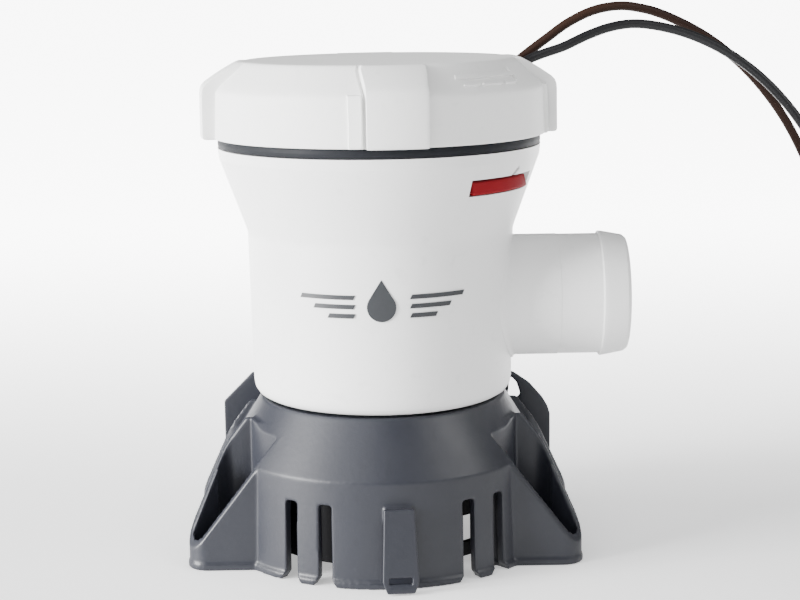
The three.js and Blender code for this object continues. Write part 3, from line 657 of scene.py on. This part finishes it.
def build_housing():
    shell = turned("housing", dense(housing_outside, 6) + housing_inside, 320)
    bore = turned("bore", [(0, 15), (SPIGOT_BORE, 15), (SPIGOT_BORE, 45), (0, 45)], 96)
    cut(shell, transformed(transformed(bore, turn(90, "Y")), Matrix.Translation((0, 0, SPIGOT_HEIGHT))))
    slot = rounded([(25, SLOT_LOW), (45, SLOT_LOW), (45, SLOT_HIGH), (25, SLOT_HIGH)])
    cut(shell, sector("slot", slot, TAB_MIDDLE - TAB_HALF, TAB_MIDDLE + TAB_HALF, 40))
    around_slit = ((-0.5, -1.7), (0.5, -1.7), (0.5, 1.7), (-0.5, 1.7))
    corners = [(x, y, z) for x in (-10, 10) for y, z in around_slit]
    sides = [[0, 3, 2, 1], [4, 5, 6, 7], [0, 1, 5, 4], [1, 2, 6, 5], [2, 3, 7, 6], [3, 0, 4, 7]]
    to_wall = turn(RELIEF_MIDDLE) @ Matrix.Translation((38, 0, SLOT_HIGH + 0.6)) @ turn(-RELIEF_SLANT, "X")
    cut(shell, transformed(new_object("relief", corners, sides), to_wall))
    return shell


def build_spigot():
    """The spigot's tube, flared by a small fillet where it meets the round housing."""
    fillet = 0.7
    around = 160
    profile = rounded([
        (SPIGOT_RADIUS + 0.05, 40.4, 0),
        (SPIGOT_RADIUS + 0.05, 41.8, 0.1),
        (SPIGOT_RADIUS - 0.05, 42.05, 0.1),
        (SPIGOT_RADIUS - 0.05, 51.65, 0.1),
        (SPIGOT_RADIUS + 0.55, 51.95, 0.12),
        (SPIGOT_RADIUS + 0.5, 52.7, 0.4),
        (SPIGOT_RADIUS - 0.4, 57.5, 0.4),
        (13.4, 58.3, 0.3),
        (SPIGOT_BORE, 58.3, 0.3),
        (SPIGOT_BORE, 56.5, 0),
        (SPIGOT_BORE, 26, 0),
    ], closed=False, steps=5)
    rows = []
    for step in range(9):
        bend = math.radians(90 * step / 8)
        rows.append((fillet * (1 - math.sin(bend)), fillet * (1 - math.cos(bend))))
    points, faces = [], []
    for swell, out in rows:
        for k in range(around):
            angle = 2 * math.pi * k / around
            radius = SPIGOT_RADIUS + 0.05 + swell
            foot_radius = SPIGOT_RADIUS + 0.05 + fillet
            y_foot, z_foot = foot_radius * math.cos(angle), foot_radius * math.sin(angle)
            wall = math.sqrt(housing_radius(SPIGOT_HEIGHT + z_foot) ** 2 - y_foot**2)
            y, z = radius * math.cos(angle), radius * math.sin(angle)
            here = math.sqrt(housing_radius(SPIGOT_HEIGHT + z) ** 2 - y**2)
            x = (wall - 0.3 if swell > fillet * 0.98 else here) + out - 0.06
            points.append((x, y, SPIGOT_HEIGHT + z))
    for r, x in profile:
        for k in range(around):
            angle = 2 * math.pi * k / around
            points.append((x, r * math.cos(angle), SPIGOT_HEIGHT + r * math.sin(angle)))
    count = len(rows) + len(profile)
    for row in range(count):
        low, high = row * around, ((row + 1) % count) * around
        for k in range(around):
            n = (k + 1) % around
            faces.append([low + k, low + n, high + n, high + k])
    return new_object("spigot", points, faces)


housing = merged("housing", [build_housing(), build_spigot()])
finished(housing, "housing_white", "housing", ["pump_body"], smooth=28)


def wrapped(name, outline, radius_at, proud, depth=0.25):
    """A closed flat (along, height) outline wrapped round the housing's front as a thin solid.
    Along is measured in millimetres from the front, towards the spigot."""
    count = len(outline)
    cx = sum(p[0] for p in outline) / count
    cz = sum(p[1] for p in outline) / count
    rings = 6
    points, faces = [], []
    for lift in (proud, -depth):
        layer = len(points)
        points.append(on_front(cx, cz, radius_at, lift))
        for ring in range(1, rings + 1):
            share = ring / rings
            for a, z in outline:
                points.append(on_front(cx + (a - cx) * share, cz + (z - cz) * share, radius_at, lift))
        for k in range(count):
            n = (k + 1) % count
            faces.append([layer, layer + 1 + k, layer + 1 + n])
            for ring in range(rings - 1):
                start = layer + 1 + ring * count
                faces.append([start + k, start + n, start + count + n, start + count + k])
    top_edge = 1 + (rings - 1) * count
    bottom_edge = top_edge + 1 + rings * count
    for k in range(count):
        n = (k + 1) % count
        faces.append([top_edge + k, top_edge + n, bottom_edge + n, bottom_edge + k])
    return new_object(name, points, faces)


def on_front(along, z, radius_at, lift):
    radius = radius_at(z) + lift
    angle = math.radians(-90) + along / radius_at(z)
    return (radius * math.cos(angle), radius * math.sin(angle), z)


def bar_outline(left, right, low, high, slant=1.2):
    """A slanted bar with enough points along it to follow the round housing."""
    steps = max(2, int((right - left) / 1.2))
    bottom = [(left + (right - left) * k / steps, low) for k in range(steps + 1)]
    return bottom + [(x + slant, high) for x, _ in reversed(bottom)]


MARK_HEIGHT = 63.4
DROP_RADIUS = 3.3


def build_mark():
    """A plain generic mark: a droplet with slanted bars on either side."""
    shapes = []
    round_end = [math.radians(degrees) for degrees in range(150, 392, 11)]
    drop = [(0.0, MARK_HEIGHT + 6.2)]
    drop += [(DROP_RADIUS * math.cos(a), MARK_HEIGHT + DROP_RADIUS * math.sin(a)) for a in round_end]
    shapes.append(wrapped("drop", drop[::-1], housing_radius, 0.04))
    for side in (-1, 1):
        for row, (near, far) in enumerate(((6.4, 19.5), (6.4, 16.0), (6.4, 12.5))):
            left, right = (near, far) if side > 0 else (-far, -near)
            low = MARK_HEIGHT + 1.7 - row * 2.1
            outline = bar_outline(left, right, low, low + 1.0, 0.5)
            shapes.append(wrapped("bar", outline, housing_radius, 0.04))
    return merged("housing_mark", shapes)


mark = build_mark()
finished(mark, None, "housing", smooth=30, finish=INK)

# ------------------------------------------------------------------ release tab and its spring
def build_tab():
    """The pressed bar, its face leaning in towards the top, on the wider strip behind the wall."""
    low, high = SLOT_LOW + 0.25, SLOT_HIGH - 0.3
    front = [(housing_radius(low) + 0.7, low, 0.5), (housing_radius(high) - 1.2, high - 0.35, 0.5)]
    outline = rounded([(31.2, low), *front, (31.2, high - 0.35)])
    bar = sector("tab", outline, TAB_MIDDLE - BAR_SIDES[0], TAB_MIDDLE + BAR_SIDES[1], 60)
    bar = bevelled(bar, 0.3, 50, 2)
    strip = [(31, 87.3), (32.3, 87.3), (32.3, 91.8), (31, 91.8)]
    lip = sector("lip", strip, TAB_MIDDLE - LIP_HALF, TAB_MIDDLE + LIP_HALF, 60)
    return merged("release_tab_bar", [bar, bevelled(lip, 0.2, 50, 2)])


finished(build_tab(), "tab_red", "release", ["release_tab"])

# ------------------------------------------------------------------ seal band
band_outline = rounded([
    (32.8, 97.2, 0.1),
    (37.9, 97.2, 0.2),
    (38.0, 98.2, 0.5),
    (37.9, 99.2, 0.2),
    (32.8, 99.2, 0.1),
])
finished(turned("seal_band_ring", band_outline, 256), "band_charcoal", "collar", ["seal_band"], smooth=50)

# ------------------------------------------------------------------ cap
CAP_TURN = 5.8  # degrees that the ribs sit round from the spigot
# From the middle of the top plate out and down the wall: radius and height between ribs, then on a rib.
CAP_SKIN = [
    ((0, 117.0), (0, 117.0)),
    ((15, 117.0), (15, 117.0)),
    ((28.9, 117.0), (28.9, 117.0)),
    ((31.3, 117.0), (31.6, 117.0)),
    ((31.9, 116.9), (32.9, 117.0)),
    ((32.4, 116.6), (33.5, 116.8)),
    ((33.2, 115.9), (34.3, 116.4)),
    ((34.8, 114.4), (36.0, 115.45)),
    ((36.4, 112.9), (37.9, 114.3)),
    ((37.6, 111.75), (39.4, 113.3)),
    ((38.25, 111.0), (40.7, 112.4)),
    ((38.55, 110.55), (41.45, 111.6)),
    ((38.7, 110.1), (41.8, 110.6)),
    ((38.75, 109.4), (41.9, 109.6)),
    ((38.9, 105), (41.93, 105)),
    ((39.05, 101.4), (41.97, 100.6)),
    ((39.1, 100.4), (41.93, 99.95)),
    ((39.12, 99.9), (41.8, 99.65)),
    ((39.12, 99.7), (41.5, 99.47)),
    ((39.05, 99.5), (41.1, 99.4)),
    ((38.8, 99.4), (39.6, 99.4)),
    ((36.8, 99.4), (36.8, 99.4)),
    ((36.4, 109.4), (36.4, 109.4)),
    ((31.2, 114.7), (31.2, 114.7)),
    ((32.2, 112.0), (32.2, 112.0)),
    ((32.2, 94.6), (32.2, 94.6)),
    ((32.0, 94.4), (32.0, 94.4)),
    ((26.7, 94.4), (26.7, 94.4)),
    ((26.5, 94.6), (26.5, 94.6)),
    ((26.5, 114.7), (26.5, 114.7)),
    ((0, 114.7), (0, 114.7)),
]
STRIP_HEIGHT = 0.28  # how far the side strip comes out, as a share of a rib
STRIP_TOP = 111.0
GROOVE_DEPTH = 0.3  # of the groove along the rib's foot, in the same measure


def step_up(value, start, width):
    t = min(1.0, max(0.0, (value - start) / width))
    return t * t * (3 - 2 * t)


def rib_share(direction, on_wall):
    """1 on a broad rib, a little on the side strip that stands on the wall only, 0 between."""
    local = (direction - CAP_TURN + 45) % 90 - 45
    edge = 0.62
    broad = step_up(local, -9.5 - edge / 2, edge) * (1 - step_up(local, 9.5 - edge / 2, edge))
    strip = step_up(local, -15.6, 0.5) * (1 - step_up(local, -11.3, 0.5))
    groove = step_up(local, -11.0, 0.35) * (1 - step_up(local, -9.95, 0.3))
    return max(broad, strip * STRIP_HEIGHT if on_wall else 0) - groove * GROOVE_DEPTH * (1 - broad)


def spread(direction, radius):
    """A direction moved so that the ribs keep their width, in millimetres, further in on the chamfer."""
    local = (direction - CAP_TURN + 45) % 90 - 45
    kept = 1 - step_up(abs(local), 14, 22)
    wider = 0.3 * min(1.0, max(0.0, (38.9 - radius) / 5.4))
    return direction + local * wider * kept


def build_cap():
    directions = [k * 1.25 for k in range(288)]
    for rib in range(4):
        for place, width in ((-9.5, 0.62), (9.5, 0.62), (-15.35, 0.5), (-11.05, 0.5), (-10.5, 1.2)):
            middle_direction = CAP_TURN + 90 * rib + place
            directions += [(middle_direction + width * (k / 7 - 0.5)) % 360 for k in range(8)]
    directions = sorted(set(round(d, 4) for d in directions))
    points, rings, faces = [], [], []
    for between, on_rib in CAP_SKIN:
        if between[0] == 0:
            rings.append([len(points)] * len(directions))
            points.append((0, 0, between[1]))
            continue
        ring = []
        for direction in directions:
            share = rib_share(direction, between[1] < STRIP_TOP)
            r = between[0] + (on_rib[0] - between[0]) * share
            z = between[1] + (on_rib[1] - between[1]) * share
            angle = math.radians(spread(direction, between[0]))
            ring.append(len(points))
            points.append((r * math.cos(angle), r * math.sin(angle), z))
        rings.append(ring)
    for low, high in zip(rings, rings[1:]):
        for k in range(len(directions)):
            n = (k + 1) % len(directions)
            corners = [low[k], low[n], high[n], high[k]]
            face = [c for i, c in enumerate(corners) if c != corners[i - 1]]
            if len(face) > 2:
                faces.append(face)
    return new_object("cap", points, faces)


GROMMET_TURN = 27.0
GROMMET_TILT = 55.0
GROMMET_SEAT = (36.2, 112.6)
TO_GROMMET = (
    turn(GROMMET_TURN) @ Matrix.Translation((GROMMET_SEAT[0], 0, GROMMET_SEAT[1])) @ turn(GROMMET_TILT, "Y")
)
cap = build_cap()
grommet_hole = turned("grommet_hole", [(0, -8), (3.9, -8), (3.9, 6), (0, 6)], 48)
cap = cut(cap, transformed(grommet_hole, TO_GROMMET))


def on_chamfer(along, up, lift):
    """A point on the cap's chamfer: along in degrees from the front, up from 0 at its foot to 1."""
    foot, top = Vector((38.0, 111.3)), Vector((32.9, 116.2))
    normal = Vector((top.y - foot.y, foot.x - top.x)).normalized()
    place = foot.lerp(top, up) + normal * lift
    angle = math.radians(along - 90)
    return (place.x * math.cos(angle), place.x * math.sin(angle), place.y)


def raised_strip(name, edge_points, height=0.6):
    """A raised bar on the chamfer between a lower and an upper run of (along, up) points."""
    points, faces = [], []
    for low, high in edge_points:
        for (along, up), lift in ((low, -0.3), (low, height), (high, height), (high, -0.3)):
            points.append(on_chamfer(along, up, lift))
    for k in range(len(edge_points) - 1):
        for i in range(4):
            n = (i + 1) % 4
            faces.append([4 * k + i, 4 * k + n, 4 * k + 4 + n, 4 * k + 4 + i])
    last = 4 * (len(edge_points) - 1)
    faces += [[3, 2, 1, 0], [last, last + 1, last + 2, last + 3]]
    return new_object(name, points, faces)


ARROW_HEAD = 7  # its length, in degrees round the cap
ARROW_HEAD_HALF = 0.26  # half its width, as a share of the chamfer


def cap_arrow(start, end, low, high):
    """A turn arrow: a long bar that ends in a point."""
    middle_up = (low + high) / 2
    neck = end - ARROW_HEAD
    bar, head = [], []
    for k in range(25):
        along = start + (neck - start) * k / 24
        bar.append(((along, low), (along, high)))
    for k in range(7):
        along = neck + ARROW_HEAD * k / 6
        half = ARROW_HEAD_HALF * (1 - k / 6) + 0.01
        head.append(((along, middle_up - half), (along, middle_up + half)))
    return [raised_strip("arrow_bar", bar), raised_strip("arrow_head", head)]


raised = cap_arrow(28, 64, 0.44, 0.58)
for start, end in ((30, 36), (38, 47), (49, 55)):
    places = [start + (end - start) * k / 8 for k in range(9)]
    raised.append(raised_strip("dash", [((along, 0.13), (along, 0.2)) for along in places]))
cap = merged("cap", [cap, *raised])
finished(cap, "cap_white", "cartridge", ["motor_cap"], smooth=30)

# ------------------------------------------------------------------ grommet
sleeve_outline = rounded([
    (0, -4),
    (3.6, -4, 0.2),
    (3.6, 0.5, 0.1),
    (4.0, 0.55, 0.2),
    (4.0, 0.95, 0.2),
    (3.2, 1.3, 0.4),
    (0, 1.3),
], closed=False)
sleeve = turned("sleeve", sleeve_outline, 48)
sleeve = transformed(sleeve, TO_GROMMET)
finished(sleeve, "seal_rubber", "cartridge", ["lead_grommet"])

# ------------------------------------------------------------------ strainer base
STRAINER_TURN = 4.6
FRONT = -90 + STRAINER_TURN
EAR_INSIDE, EAR_OUTSIDE = 8.3, 22.9
EAR_END, EAR_END_RADIUS = (41.7, 18.4), 4.5
EAR_BEND, EAR_BEND_RADIUS = (35.9, 13.3), 5.0
EAR_WALL, EAR_CORE, EAR_FLOOR, EAR_TOP = 1.2, 31.6, 3.2, 33.2
SCREW_PLACE, SCREW_RADIUS = (38.6, 17.0), 2.3
RIM_PLACE = (41.0, 9.5, 21.9)  # a point of the ears' sloping rim
RIM_SLOPE_OUT, RIM_SLOPE_ASIDE = 1.3, 0.96
FIN_START, FIN_DIRECTION, FIN_LENGTH = (39.6, 12.9), (4.8, 4.0), 7.2
FRONT_SLOTS = (-39.6, -26.0, 26.0, 39.6)  # degrees to either side of a latch
SIDE_SLOTS = (-6.0, 6.0, 174.0, 186.0)  # degrees from the spigot
LATCH_HEIGHT, LATCH_LEAN, LATCH_THICKNESS, LATCH_STAND_OFF = 18.9, 8.5, 1.5, 38.3
ROOT_MIDDLE = (37.2, 0, 17.4)  # the small block on the skirt behind a latch's top
ROOT_SIZE = (1.6, 6.4, 3.0)
UPRIGHT = Matrix(((1, 0, 0, 0), (0, 0, -1, 0), (0, 1, 0, 0), (0, 0, 0, 1)))  # (x, y) to (x, z)
FACING_OUT = Matrix(((0, 0, 1, 0), (1, 0, 0, 0), (0, 1, 0, 0), (0, 0, 0, 1)))  # (x, y) to (y, z)


def ear_outline(side_x, side_y, inset):
    bend = arc(EAR_BEND, EAR_BEND_RADIUS - inset, -90, -45, 8)
    end = arc(EAR_END, EAR_END_RADIUS - inset, -45, 90, 24)
    root = EAR_CORE - 8
    points = [(root, EAR_INSIDE + inset), *bend, *end, (root, EAR_OUTSIDE - inset)]
    points = [(side_x * x, side_y * y) for x, y in points]
    return points if side_x * side_y > 0 else points[::-1]


def ear_rim_height(x, y):
    """Height of an ear's sloping rim, which falls outwards and towards its free side."""
    return RIM_PLACE[2] - RIM_SLOPE_OUT * (x - RIM_PLACE[0]) - RIM_SLOPE_ASIDE * (y - RIM_PLACE[1])


def ear_fin(side_x, side_y):
    """The thin inner wall in an ear's pocket, close along the pocket's slanting side."""
    outline = [(0, EAR_FLOOR - 0.5), (FIN_LENGTH, EAR_FLOOR - 0.5), (FIN_LENGTH, 9.0), (0, 22.0)]
    fin = transformed(prism("fin", outline, -0.5, 0.5), UPRIGHT)
    aside = math.degrees(math.atan2(side_y * FIN_DIRECTION[1], side_x * FIN_DIRECTION[0]))
    place = Matrix.Translation((side_x * FIN_START[0], side_y * FIN_START[1], 0))
    return transformed(fin, place @ turn(aside))


def rear_wall(outline):
    """The tall rear wall of a rear ear, from (distance from the axis, height) corners."""
    return transformed(prism("rear_wall", outline, -EAR_OUTSIDE, EAR_WALL - EAR_OUTSIDE), UPRIGHT)


def above_rim(side_x, side_y):
    """Everything above an ear's rim."""
    corners = [(10, -5), (60, -5), (60, 40), (10, 40)]
    points = [(side_x * x, side_y * y, ear_rim_height(x, y)) for x, y in corners]
    points += [(side_x * x, side_y * y, 140) for x, y in corners]
    faces = [[0, 1, 2, 3], [4, 5, 6, 7]]
    faces += [[k, (k + 1) % 4, (k + 1) % 4 + 4, k + 4] for k in range(4)]
    return new_object("above", points, faces)


BASE_OUTLINE = [
    (20, 35),
    (20, 37.3),
    (28.4, 37.3),
    (28.9, 37.55),
    (29.4, 37.2),
    (37.2, 24.4),
    (37.75, 1.6),
    (38.3, 1.45),
    (38.3, 0),
    (35.5, 0),
    (35.0, 23.6),
    (27, 35),
]
CORNERED_WALL = [(-23, 30), (-29, 20), (-40.6, 12), (-40.6, 29.8), (-33.2, 37.2), (-23, 37.2)]
ROUNDED_WALL = [
    (23, 30),
    (29, 20),
    (40.6, 12),
    (42.6, 12),
    (42.6, 25.2),
    (42, 27.2),
    (40.6, 29.6),
    (37.3, 33.4),
    (33.6, 36),
    (31, 37.2),
    (23, 37.2),
]
WALL_GAP = [(31.8, 30), (34, 29.4), (35, 30.4), (34, 33.6), (32.4, 35.2)]


def build_base():
    shell = turned("base", BASE_OUTLINE, 256)
    core = turned("core", [(0, -5), (EAR_CORE, -5), (EAR_CORE, 60), (0, 60)], 192)
    walls = None
    pockets = []
    for side_x in (1, -1):
        for side_y in (1, -1):
            ear = prism("ear", ear_outline(side_x, side_y, 0), 0, EAR_TOP)
            ear = cut(ear, above_rim(side_x, side_y))
            ear = add(ear, prism("foot", ear_outline(side_x, side_y, -0.3), 0, 1.5))
            walls = ear if walls is None else add(walls, ear)
            pocket = prism("pocket", ear_outline(side_x, side_y, EAR_WALL), EAR_FLOOR, 60)
            inner_radius = EAR_CORE + EAR_WALL
            inner = turned("inner", [(0, 0), (inner_radius, 0), (inner_radius, 70), (0, 70)], 192)
            pockets.append(cut(pocket, inner))
            screw = turned("screw", [(0, -1), (SCREW_RADIUS, -1), (SCREW_RADIUS, 4.2), (0, 4.2)], 40)
            place = (side_x * SCREW_PLACE[0], side_y * SCREW_PLACE[1], 0)
            pockets.append(transformed(screw, Matrix.Translation(place)))
    walls = cut(walls, core)
    base = add(shell, walls)
    for pocket in pockets:
        base = cut(base, pocket)
    for side_x in (1, -1):
        for side_y in (1, -1):
            base = add(base, ear_fin(side_x, side_y))
    base = add(add(base, rear_wall(CORNERED_WALL)), rear_wall(ROUNDED_WALL))
    gap = prism("gap", WALL_GAP, -EAR_OUTSIDE - 3, 3 + EAR_WALL - EAR_OUTSIDE)
    base = cut(base, transformed(gap, UPRIGHT))
    for angle in FRONT_SLOTS:
        for direction in (FRONT + angle, FRONT + 180 + angle):
            base = cut(base, transformed(slot_cutter(), turn(direction)))
    for angle in SIDE_SLOTS:
        base = cut(base, transformed(slot_cutter(), turn(angle)))
    for direction in (FRONT, FRONT + 180):
        base = add(base, transformed(box("root", ROOT_MIDDLE, ROOT_SIZE), turn(direction)))
    return base


def slot_cutter():
    """A slot's block, wider at its lower end by the small corner chamfers."""
    half, chamfer = 1.55, 1.1
    low, high = -1.0, 18.9
    chamfer_low, chamfer_high = 0.3, 0.3 + chamfer * 1.3
    across = [
        (-half - chamfer, low),
        (half + chamfer, low),
        (half + chamfer, chamfer_low),
        (half, chamfer_high),
        (half, high),
        (-half, high),
        (-half, chamfer_high),
        (-half - chamfer, chamfer_low),
    ]
    return transformed(prism("slot", across, 34.2, 41.5), FACING_OUT)


BASE_VOXEL = 0.34
base = softened(build_base(), BASE_VOXEL, 3)
finished(base, "base_grey", "base", ["strainer_base"], smooth=60)


def build_latch(name, direction):
    """A latch lever, leaning out from the skirt, with a small window near its foot."""
    tongue = [(-3.1, 0), (3.1, 0), (4.1, 2.6), (3.4, LATCH_HEIGHT), (-3.4, LATCH_HEIGHT), (-4.1, 2.6)]
    lever = prism(name, tongue, 0, LATCH_THICKNESS)
    window = prism("window", [(-2.6, 2.2), (2.6, 2.2), (2.6, 3.6), (-2.6, 3.6)], -1, 3)
    lever = bevelled(cut(lever, window), 0.3, 40, 3)
    lever = transformed(lever, Matrix.Translation((0, 0, -LATCH_HEIGHT)) @ FACING_OUT)
    hung = Matrix.Translation((LATCH_STAND_OFF, 0, LATCH_HEIGHT)) @ turn(-LATCH_LEAN, "Y")
    return transformed(transformed(lever, hung), turn(direction))


finished(build_latch("latch_lever_front", FRONT), "base_grey", "latch_front", ["latch_front"], smooth=12)
finished(build_latch("latch_lever_rear", FRONT + 180), "base_grey", "latch_rear", ["latch_rear"], smooth=12)

# ------------------------------------------------------------------ intake cage
CAGE_WINDOWS = 3
FIRST_WINDOW = -51.0  # degrees from the spigot
WINDOW_HALF = 6.0
cage_outline = rounded([
    (22, 32.8, 0.2),
    (24.8, 32.8, 0.3),
    (28.3, 28.8, 0.5),
    (28.3, 2.7, 0.4),
    (29.9, 2.7, 0.4),
    (29.9, 29.2, 0.5),
    (26.6, 34.2, 0.5),
    (22, 34.2, 0.2),
])
cage = turned("cage", cage_outline, 192)
window_outline = [(25, 6), (33, 6), (33, 12.6), (25, 12.6)]
for k in range(CAGE_WINDOWS):
    direction = FIRST_WINDOW + 360 / CAGE_WINDOWS * k
    window = sector("window", window_outline, direction - WINDOW_HALF, direction + WINDOW_HALF, 8)
    cage = cut(cage, window)
finished(cage, "cage_black", "base", ["intake_cage"])

# ------------------------------------------------------------------ motor capsule
capsule_outline = rounded([
    (4.1, 53.5, 0.2),
    (22, 53.5, 0),
    (23.5, 55, 0.8),
    (23.5, 77.5, 1.2),
    (28.4, 79.2, 0.3),
    (28.4, 80.9, 0.2),
    (26.9, 80.9, 0.2),
    (26.9, 83.1, 0.2),
    (28.4, 83.1, 0.2),
    (28.4, 85, 0.4),
    (26.2, 86.5, 0.4),
    (26.2, 99.2, 0.3),
    (21.3, 99.2, 0.3),
    (21.3, 56.1, 0.5),
    (4.1, 56.1, 0.2),
])
capsule = turned("capsule", capsule_outline, 192)
finished(capsule, "capsule_black", "cartridge", ["motor_capsule"])
ring = turned("capsule_ring", arc((27.85, 82), 0.65, 0, 337.5, 15), 160)
finished(ring, "seal_rubber", "cartridge", ["capsule_seal"], smooth=60)

# ------------------------------------------------------------------ CAD pieces that are shown as they are
slot_of = {row["node"]: row["material_slot"] for row in frame["record"]["subparts"]}
for node, shape in frame["nodes"].items():
    if shape.hide_render:
        continue
    shape.data.materials.clear()
    shape.data.materials.append(FINISHES[slot_of[node]])
    shape.data.shade_smooth()
    shape.data.set_sharp_from_angle(angle=math.radians(30))
